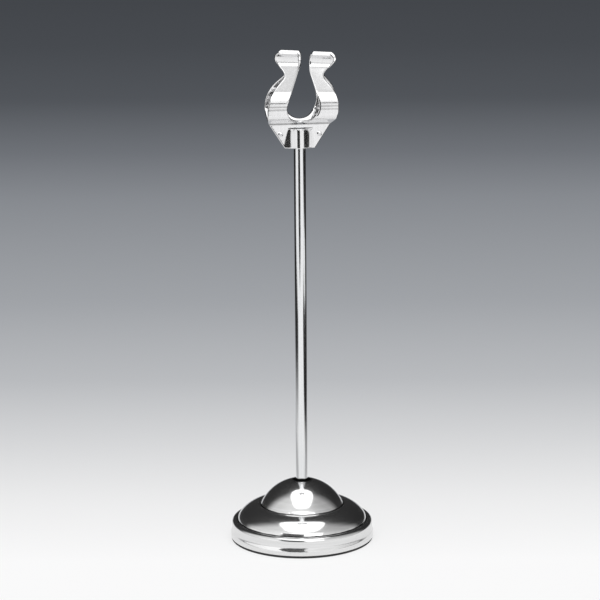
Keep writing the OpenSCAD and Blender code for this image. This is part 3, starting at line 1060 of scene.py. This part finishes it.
@dataclass
class Studio:
    """The table, lamps and camera. Metres and degrees, from the foot along the camera's line of sight."""

    azimuth: float = -6.0
    camera_away: float = 1.389
    camera_up: float = 0.457
    pitch: float = 14.4
    yaw: float = 0.011
    roll: float = 0.36
    focal_pixels: float = 3545.0
    image_pixels: float = 600.0
    sensor: float = 36.0
    floor_half: float = 8.0
    floor_drop: float = 0.05 * MM
    flag_lift: float = 0.2 * MM
    veil_cover: float = 0.45
    front_away: float = 0.476
    front_slant: float = 0.41
    room_rise: Slope = (0.3, 1.0, 0.0, 0.24)
    room_wall: Slope = (-0.52, -0.08, 0.012, 0.57)
    room_front: Slope = (0.0, 0.6, 0.0, 0.28)
    room_sides: Slope = (-0.5, 0.5, 1.36, 0.80)
    room_low: Slope = (0.04, 0.32, 0.5, 0.0)
    room_light: Colour = (0.5, 0.5, 0.51)

    def spot(self, right: float, back: float, up: float) -> Vector:
        """Turns distances right, back and up, as the camera sees them, into a point."""
        a = radians(self.azimuth)
        return Vector((right * cos(a) - back * sin(a), right * sin(a) + back * cos(a), up))

    def camera(self) -> None:
        """Places the camera at the photograph's viewing angle."""
        data = bpy.data.cameras.new("camera")
        data.sensor_fit = "HORIZONTAL"
        data.sensor_width = self.sensor
        data.lens = self.focal_pixels / self.image_pixels * self.sensor
        eye = bpy.data.objects.new("camera", data)
        place = Matrix.Translation(self.spot(0, -self.camera_away, self.camera_up))
        heading = Matrix.Rotation(radians(self.azimuth + self.yaw), 4, "Z")
        tilt = Matrix.Rotation(radians(90 - self.pitch), 4, "X")
        roll = Matrix.Rotation(radians(-self.roll), 4, "Z")
        eye.matrix_world = place @ heading @ tilt @ roll
        bpy.context.scene.collection.objects.link(eye)
        bpy.context.scene.camera = eye

    def softbox(self, name: str, centre: Vector, target: Vector, size: Point, radiance: float,
                mirrored: bool) -> None:
        """Hangs a soft lamp that the camera doesn't see.

        Args:
            name: Its name.
            centre: Its middle.
            target: The point that it faces.
            size: Its width and height.
            radiance: How bright its face is, where 1 is white.
            mirrored: Whether mirrors show it.
        """
        data = bpy.data.lights.new(name, "AREA")
        data.shape = "RECTANGLE"
        data.size, data.size_y = size
        data.energy = radiance * pi * size[0] * size[1]
        lamp = bpy.data.objects.new(name, data)
        turn = (target - centre).to_track_quat("-Z", "Y").to_matrix().to_4x4()
        lamp.matrix_world = Matrix.Translation(centre) @ turn
        lamp.visible_camera = False
        lamp.visible_glossy = mirrored
        bpy.context.scene.collection.objects.link(lamp)

    def build(self) -> None:
        """Sets up the camera, the lamps, the floor, the flags and the world."""
        bpy.context.scene.view_settings.view_transform = "Standard"
        self.camera()
        self.softbox("top_softbox", centre=self.spot(0, -0.14, 1.0), target=self.spot(0, -0.14, 0.0),
                     size=(1.0, 1.0), radiance=1.6, mirrored=False)
        self.softbox("front_softbox", centre=self.spot(0, -1.0, 0.61), target=self.spot(0, 0, 0.15),
                     size=(1.55, 0.58), radiance=1.35, mirrored=True)
        self.lamp_cloth()
        self.floor()
        self.flags()
        self.world()

    def floor(self) -> None:
        """Lays the pale table, white round the object and in front, falling away to grey behind."""
        half, low = self.floor_half, -self.floor_drop
        corners = np.array([(-half, -half, low), (half, -half, low), (half, half, low), (-half, half, low)])
        paper = make_piece("floor", corners, [[0, 1, 2, 3]], TablePaper(azimuth=self.azimuth))
        paper.data.transform(Matrix.Rotation(radians(self.azimuth), 4, "Z"))

    def lamp_cloth(self) -> None:
        """Hangs the upper lamp's rounded white cloth, which mirrors show, with a border that fades out."""
        half_w, half_d, middle, up, squareness, corners = 2.58, 3.443, -1.40, 6.0, 3.2, 72
        turn = np.linspace(0.0, 2 * pi, corners, endpoint=False)
        across, back = np.cos(turn), np.sin(turn)
        size = (np.abs(across) ** squareness + np.abs(back) ** squareness) ** (-1 / squareness)
        loops = []
        for cover, scale in ((0.0, 1.35), (0.05, 1.03), (1.0, 0.97)):
            spots = zip(half_w * scale * across * size, half_d * scale * back * size)
            loops.append((cover, [self.spot(x, y + middle, up) for x, y in spots]))
        self.card("top_softbox_cloth", LAMP_CLOTH, loops)

    def flags(self) -> None:
        """Lays and stands black cards with soft edges, drawn in centimetres, where only mirrors show them."""
        left = [(-12, 4), (-14, -14), (-26, -27), (-42, -20), (-50, -8), (-200, -35), (-200, 200),
                (-12, 200)]
        left_core = [(-28, 6), (-27, -12), (-30, -19), (-37, -14), (-58, 4), (-200, -15), (-200, 200),
                     (-28, 200)]
        right = [(10, 2), (13, -10), (23, -28), (39, -27), (42, 6), (50, 10), (56, -24), (70, -46),
                 (200, -120), (200, 200), (10, 200)]
        right_core = [(17, 2), (19, -12), (27, -24), (36, -22), (37, 12), (53, 16), (61, -18), (75, -38),
                      (200, -100), (200, 200), (18, 200)]
        front = [(-17, 0), (6, 0), (9, 1.5), (9, 3.5), (6, 5.5), (5, 7), (5, 38), (-29, 38), (-29, 9),
                 (-25, 6), (-25, 3)]
        front_core = [(-14, 0), (3, 0), (6, 1.5), (6, 3.5), (3.5, 5.5), (2, 7), (2, 32), (-26, 32),
                      (-26, 8.5), (-22, 6), (-22, 3.5)]
        veil = [(6.2, -6), (15.5, -6), (15.5, 16), (6.2, 16)]
        veil_core = [(8.5, -3), (12, -3), (12, 13), (8.5, 13)]
        lift = self.flag_lift
        for name, outer, core in (("left_flag", left, left_core), ("right_flag", right, right_core)):
            self.flag(name, outer, core, lambda x, y: self.spot(x, y, lift))
        for name, side in (("left_veil", -1), ("right_veil", 1)):
            self.flag(name, veil, veil_core, lambda x, y: self.spot(side * x, y, lift / 2), self.veil_cover)
        self.flag("front_flag", front, front_core,
                  lambda x, up: self.spot(x, -self.front_away - self.front_slant * x, up))

    def flag(self, name: str, outer: list[Point], core: list[Point], place: Callable[[float, float], Vector],
             cover: float = 1.0) -> None:
        """Places a black card that fades out from its core to its outer edge."""
        loops = [(share, [place(x * CM, y * CM) for x, y in loop])
                 for share, loop in ((0.0, outer), (cover, core))]
        self.card(name, BLACK_CARD, loops)

    def card(self, name: str, finish: StudioCard, loops: list[tuple[float, list[Vector]]]) -> None:
        """Places one flat sheet that only mirrors show.

        Args:
            name: Its name.
            finish: What it is made of.
            loops: How fully the sheet covers, and as many corners each time, from the edge inwards.
        """
        corners = [corner for _, loop in loops for corner in loop]
        count = len(corners) // len(loops)
        rings = rings_from([count * i for i in range(len(loops))], count)
        sheet = make_piece(name, np.array(corners), [rings[-1]] + join_rings(rings), finish)
        cover = sheet.data.attributes.new(finish.cover, "FLOAT", "POINT")
        cover.data.foreach_set("value", [share for share, loop in loops for _ in loop])
        sheet.visible_camera = False
        sheet.visible_diffuse = False
        sheet.visible_shadow = False

    def world(self) -> None:
        """Fills the room: light grey in front, dark behind, plain soft light on everything."""
        world = bpy.data.worlds.new("studio")
        bpy.context.scene.world = world
        world.use_nodes = True
        graph = Graph(world.node_tree)
        way = graph.add("TexCoord").outputs["Generated"]
        facing = graph.vector("DOT_PRODUCT", way, tuple(self.spot(0, -1, 0)))
        side = graph.vector("DOT_PRODUCT", way, tuple(self.spot(1, 0, 0)))
        height = graph.add("SeparateXYZ", {0: way}).outputs["Z"]
        level = graph.math("SUBTRACT", facing, graph.ramp(height, *self.room_rise))
        wall = graph.ramp(level, *self.room_wall, smooth=True)
        front = graph.ramp(level, *self.room_front)
        uneven = graph.ramp(side, *self.room_sides)
        low = graph.math("MULTIPLY", graph.ramp(height, *self.room_low), wall)
        seen = graph.math("ADD", graph.math("MULTIPLY_ADD", wall, uneven, front), low)
        shown = graph.add("Background", {"Color": seen})
        plain = graph.add("Background", {"Color": (*self.room_light, 1.0)})
        graph.end(graph.blend(graph.seen(), plain, shown), "OutputWorld")


def main() -> None:
    """Builds every sub-assembly in order, then the studio."""
    logging.basicConfig(level=logging.INFO, format="%(name)s: %(message)s")
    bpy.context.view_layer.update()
    base = BellBase()
    base.build()
    base.dress_hidden()
    Rod().build()
    SpringLeaf("front_leaf", "front_jaw", True, ("front_skirt", "front_jaw"), lean=3.0, sway=-1.0).build()
    SpringLeaf("rear_leaf", "rear_jaw", False, ("rear_skirt", "rear_jaw"), lean=4.4, sway=-1.3,
               line=LeafLine(shelf_slope=32.0, wall_h=3.2)).build()
    Rivets().build()
    Studio().build()


if __name__ == "__main__":
    main()
